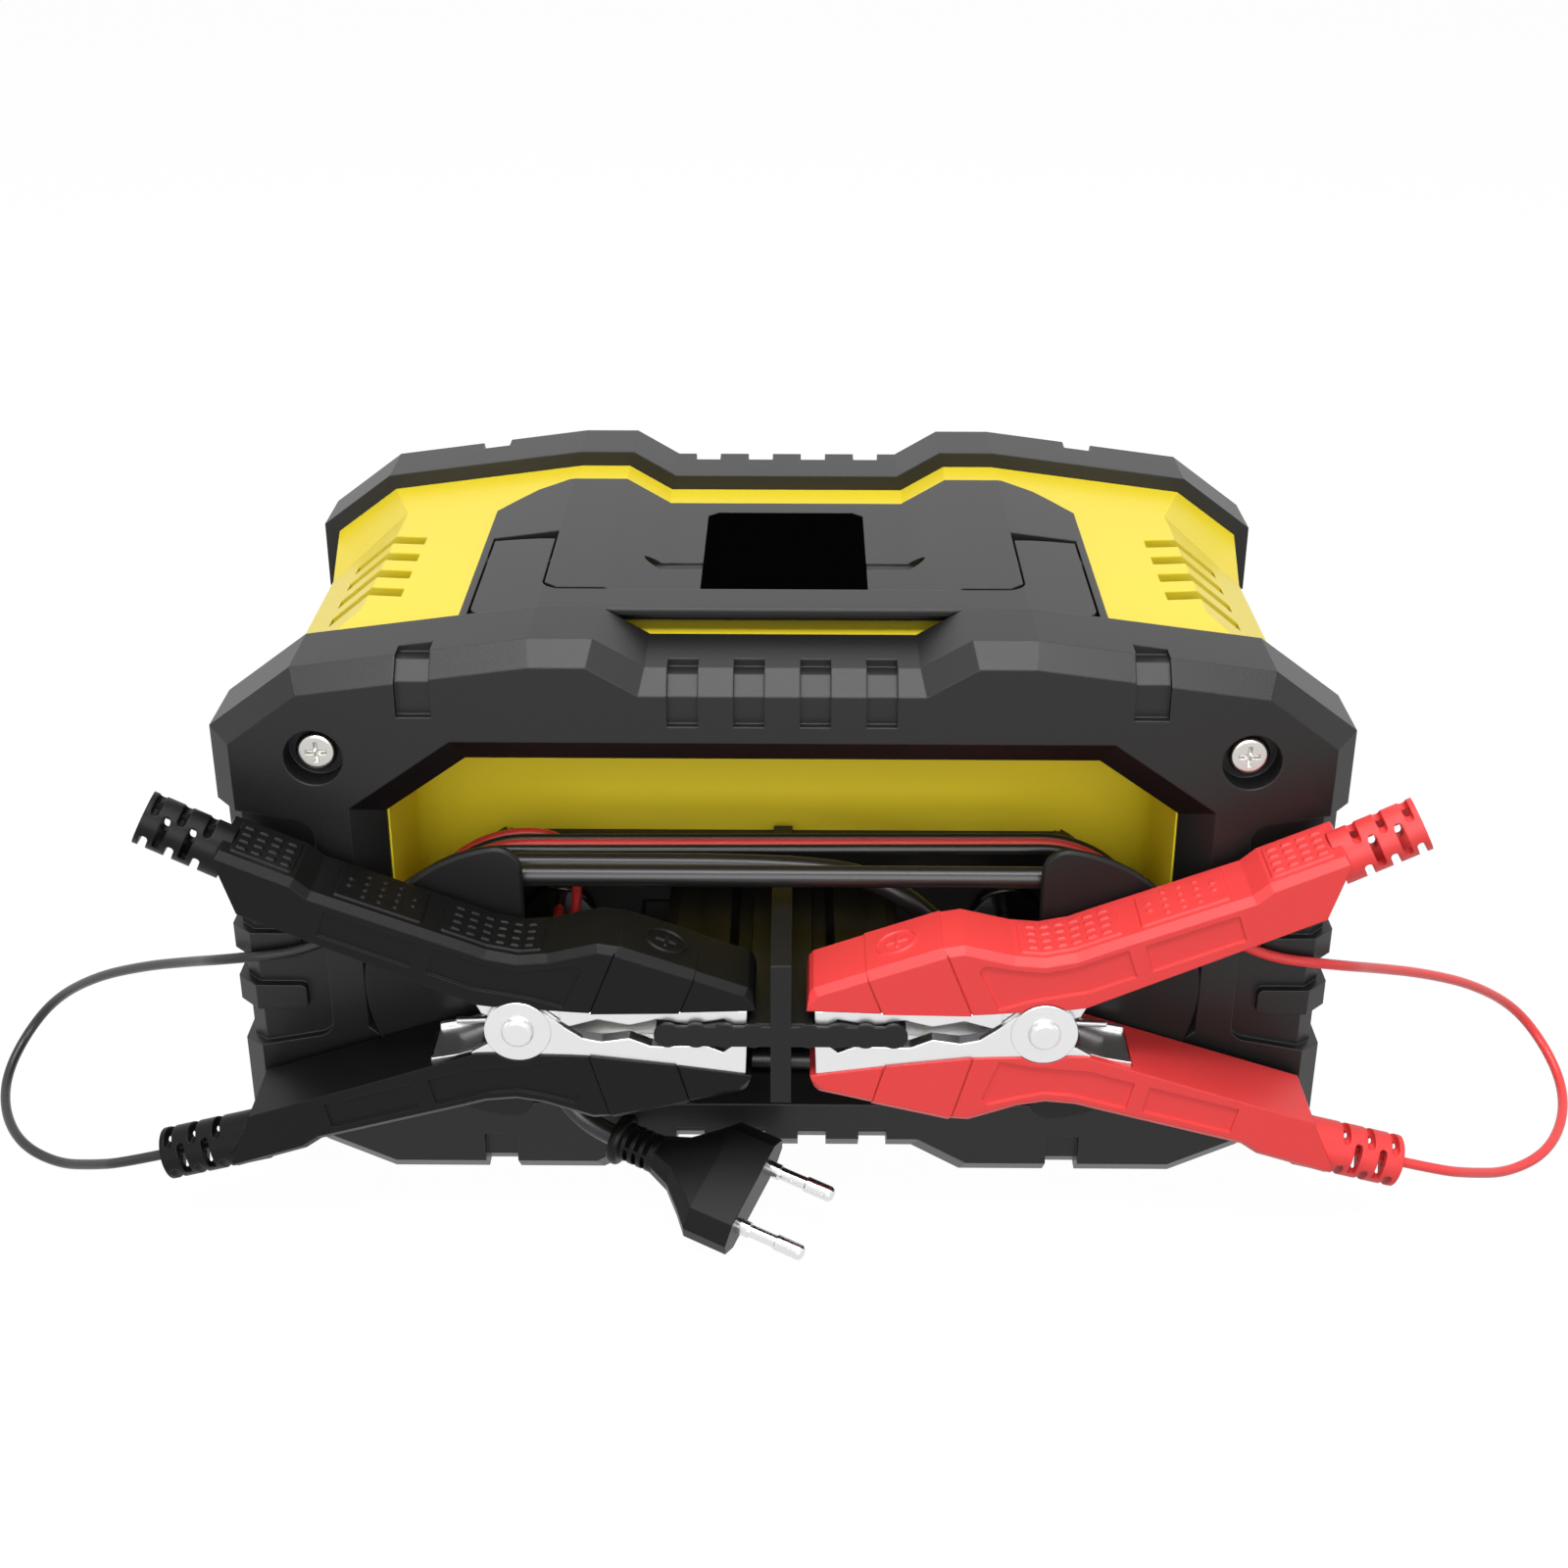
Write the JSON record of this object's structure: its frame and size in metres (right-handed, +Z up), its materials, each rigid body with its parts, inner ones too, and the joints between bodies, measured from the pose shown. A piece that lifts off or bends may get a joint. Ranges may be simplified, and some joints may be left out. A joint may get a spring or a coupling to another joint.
{
  "type": "car battery charger",
  "caption": "Portable car battery charger: yellow housing between two guards, folding handle, cords wound in an end bay, sprung clamps on a cross, mains plug.",
  "frame": {"origin": "on the floor, under the middle of the charger and its clamps", "axes": "+X to the right seen from the clamp end, +Y from the clamp end to the control panel, +Z up"},
  "size_m": [0.412, 0.2026, 0.1422],
  "materials": {
    "guard": "fine matte grain",
    "body_yellow": "satin",
    "trim": "fine matte grain",
    "inner_black": "satin",
    "label": "flat black film",
    "screw_steel": "bright plated",
    "pin_steel": "plain",
    "jaw_steel": "pressed and plated",
    "spring_steel": "plated wire",
    "red_grip": "satin",
    "black_grip": "satin",
    "red_wire": "smooth",
    "black_wire": "smooth",
    "mains_rubber": "smooth",
    "plug_plastic": "satin",
    "plug_metal": "nickel plated",
    "grommet": "glossy",
    "lens": "clear tinted window",
    "lamp": "clear green lens",
    "button": "satin",
    "board": "solder mask",
    "fan_plastic": "plain",
    "core_steel": "varnished laminations",
    "copper": "enamelled wire",
    "heatsink": "extruded",
    "capacitor": "sleeve",
    "fuse_glass": "holder",
    "terminal": "plain"
  },
  "bodies": {
    "unit": {"near_bumper": "guard", "far_bumper": "guard", "bumper_screws": "screw_steel", "upper_shell": "body_yellow", "lower_shell": "body_yellow", "storage_bay": "body_yellow", "bay_back_plate": "inner_black", "lead_grommet": "grommet", "mains_grommet": "grommet", "winder_right": "inner_black", "winder_left": "inner_black", "clamp_holder": "inner_black", "black_lead": "black_wire", "red_lead": "red_wire", "mains_cord": "mains_rubber", "plug_body": "plug_plastic", "plug_pins": "plug_metal", "saddle_panel": "trim", "label_plate": "label", "handle_pins": "pin_steel", "control_panel": "trim", "display_lens": "lens", "status_leds": "lamp", "display_board": "board", "fan_frame": "fan_plastic", "transformer_core": "core_steel", "transformer_coil": "copper", "main_board": "board", "board_posts": "inner_black", "heatsink": "heatsink", "capacitors": "capacitor", "choke": "copper", "fuse": "fuse_glass", "output_terminals": "terminal", "mains_terminals": "terminal", "output_wires": "red_wire", "mains_wires": "mains_rubber", "red_lower_lever": "red_grip", "red_lower_jaw": "jaw_steel", "red_clamp_pin": "jaw_steel", "red_spring": "spring_steel", "red_lower_relief": "red_grip", "black_lower_lever": "black_grip", "black_lower_jaw": "jaw_steel", "black_clamp_pin": "jaw_steel", "black_spring": "spring_steel", "black_lower_relief": "black_grip"},
    "handle": {"carry_handle": "trim"},
    "red_lever": {"red_upper_lever": "red_grip", "red_upper_jaw": "jaw_steel", "red_upper_relief": "red_grip"},
    "black_lever": {"black_upper_lever": "black_grip", "black_upper_jaw": "jaw_steel", "black_upper_relief": "black_grip"},
    "mode_key": {"mode_button": "button"},
    "rate_key": {"rate_button": "button"},
    "start_key": {"start_button": "button"},
    "fan": {"fan_rotor": "fan_plastic"}
  },
  "joints": [
    {"name": "handle_lift", "type": "hinge", "parent": "unit", "child": "handle", "pos_m": [0, 0.00075, 0.1345], "axis": [-1, 0, 0], "range_deg": [0, 90]},
    {"name": "red_squeeze", "type": "hinge", "parent": "unit", "child": "red_lever", "pos_m": [0.06, -0.08415, 0.0571], "axis": [0, 1, 0], "range_deg": [0, 22], "stiffness_Nm_per_rad": 0.6, "springref_deg": -22.92, "deforming": ["red_spring"]},
    {"name": "black_squeeze", "type": "hinge", "parent": "unit", "child": "black_lever", "pos_m": [-0.06, -0.08415, 0.0571], "axis": [0, -1, 0], "range_deg": [0, 22], "stiffness_Nm_per_rad": 0.6, "springref_deg": -22.92, "deforming": ["black_spring"]},
    {"name": "mode_press", "type": "slide", "parent": "unit", "child": "mode_key", "axis": [0, -1, 0], "range_m": [0, 0.0016], "stiffness_N_per_m": 500},
    {"name": "rate_press", "type": "slide", "parent": "unit", "child": "rate_key", "axis": [0, -1, 0], "range_m": [0, 0.0016], "stiffness_N_per_m": 500},
    {"name": "start_press", "type": "slide", "parent": "unit", "child": "start_key", "axis": [0, -1, 0], "range_m": [0, 0.0016], "stiffness_N_per_m": 500},
    {"name": "fan_spin", "type": "hinge", "parent": "unit", "child": "fan", "pos_m": [0, -0.01415, 0.046], "axis": [0, 1, 0], "continuous": true}
  ]
}
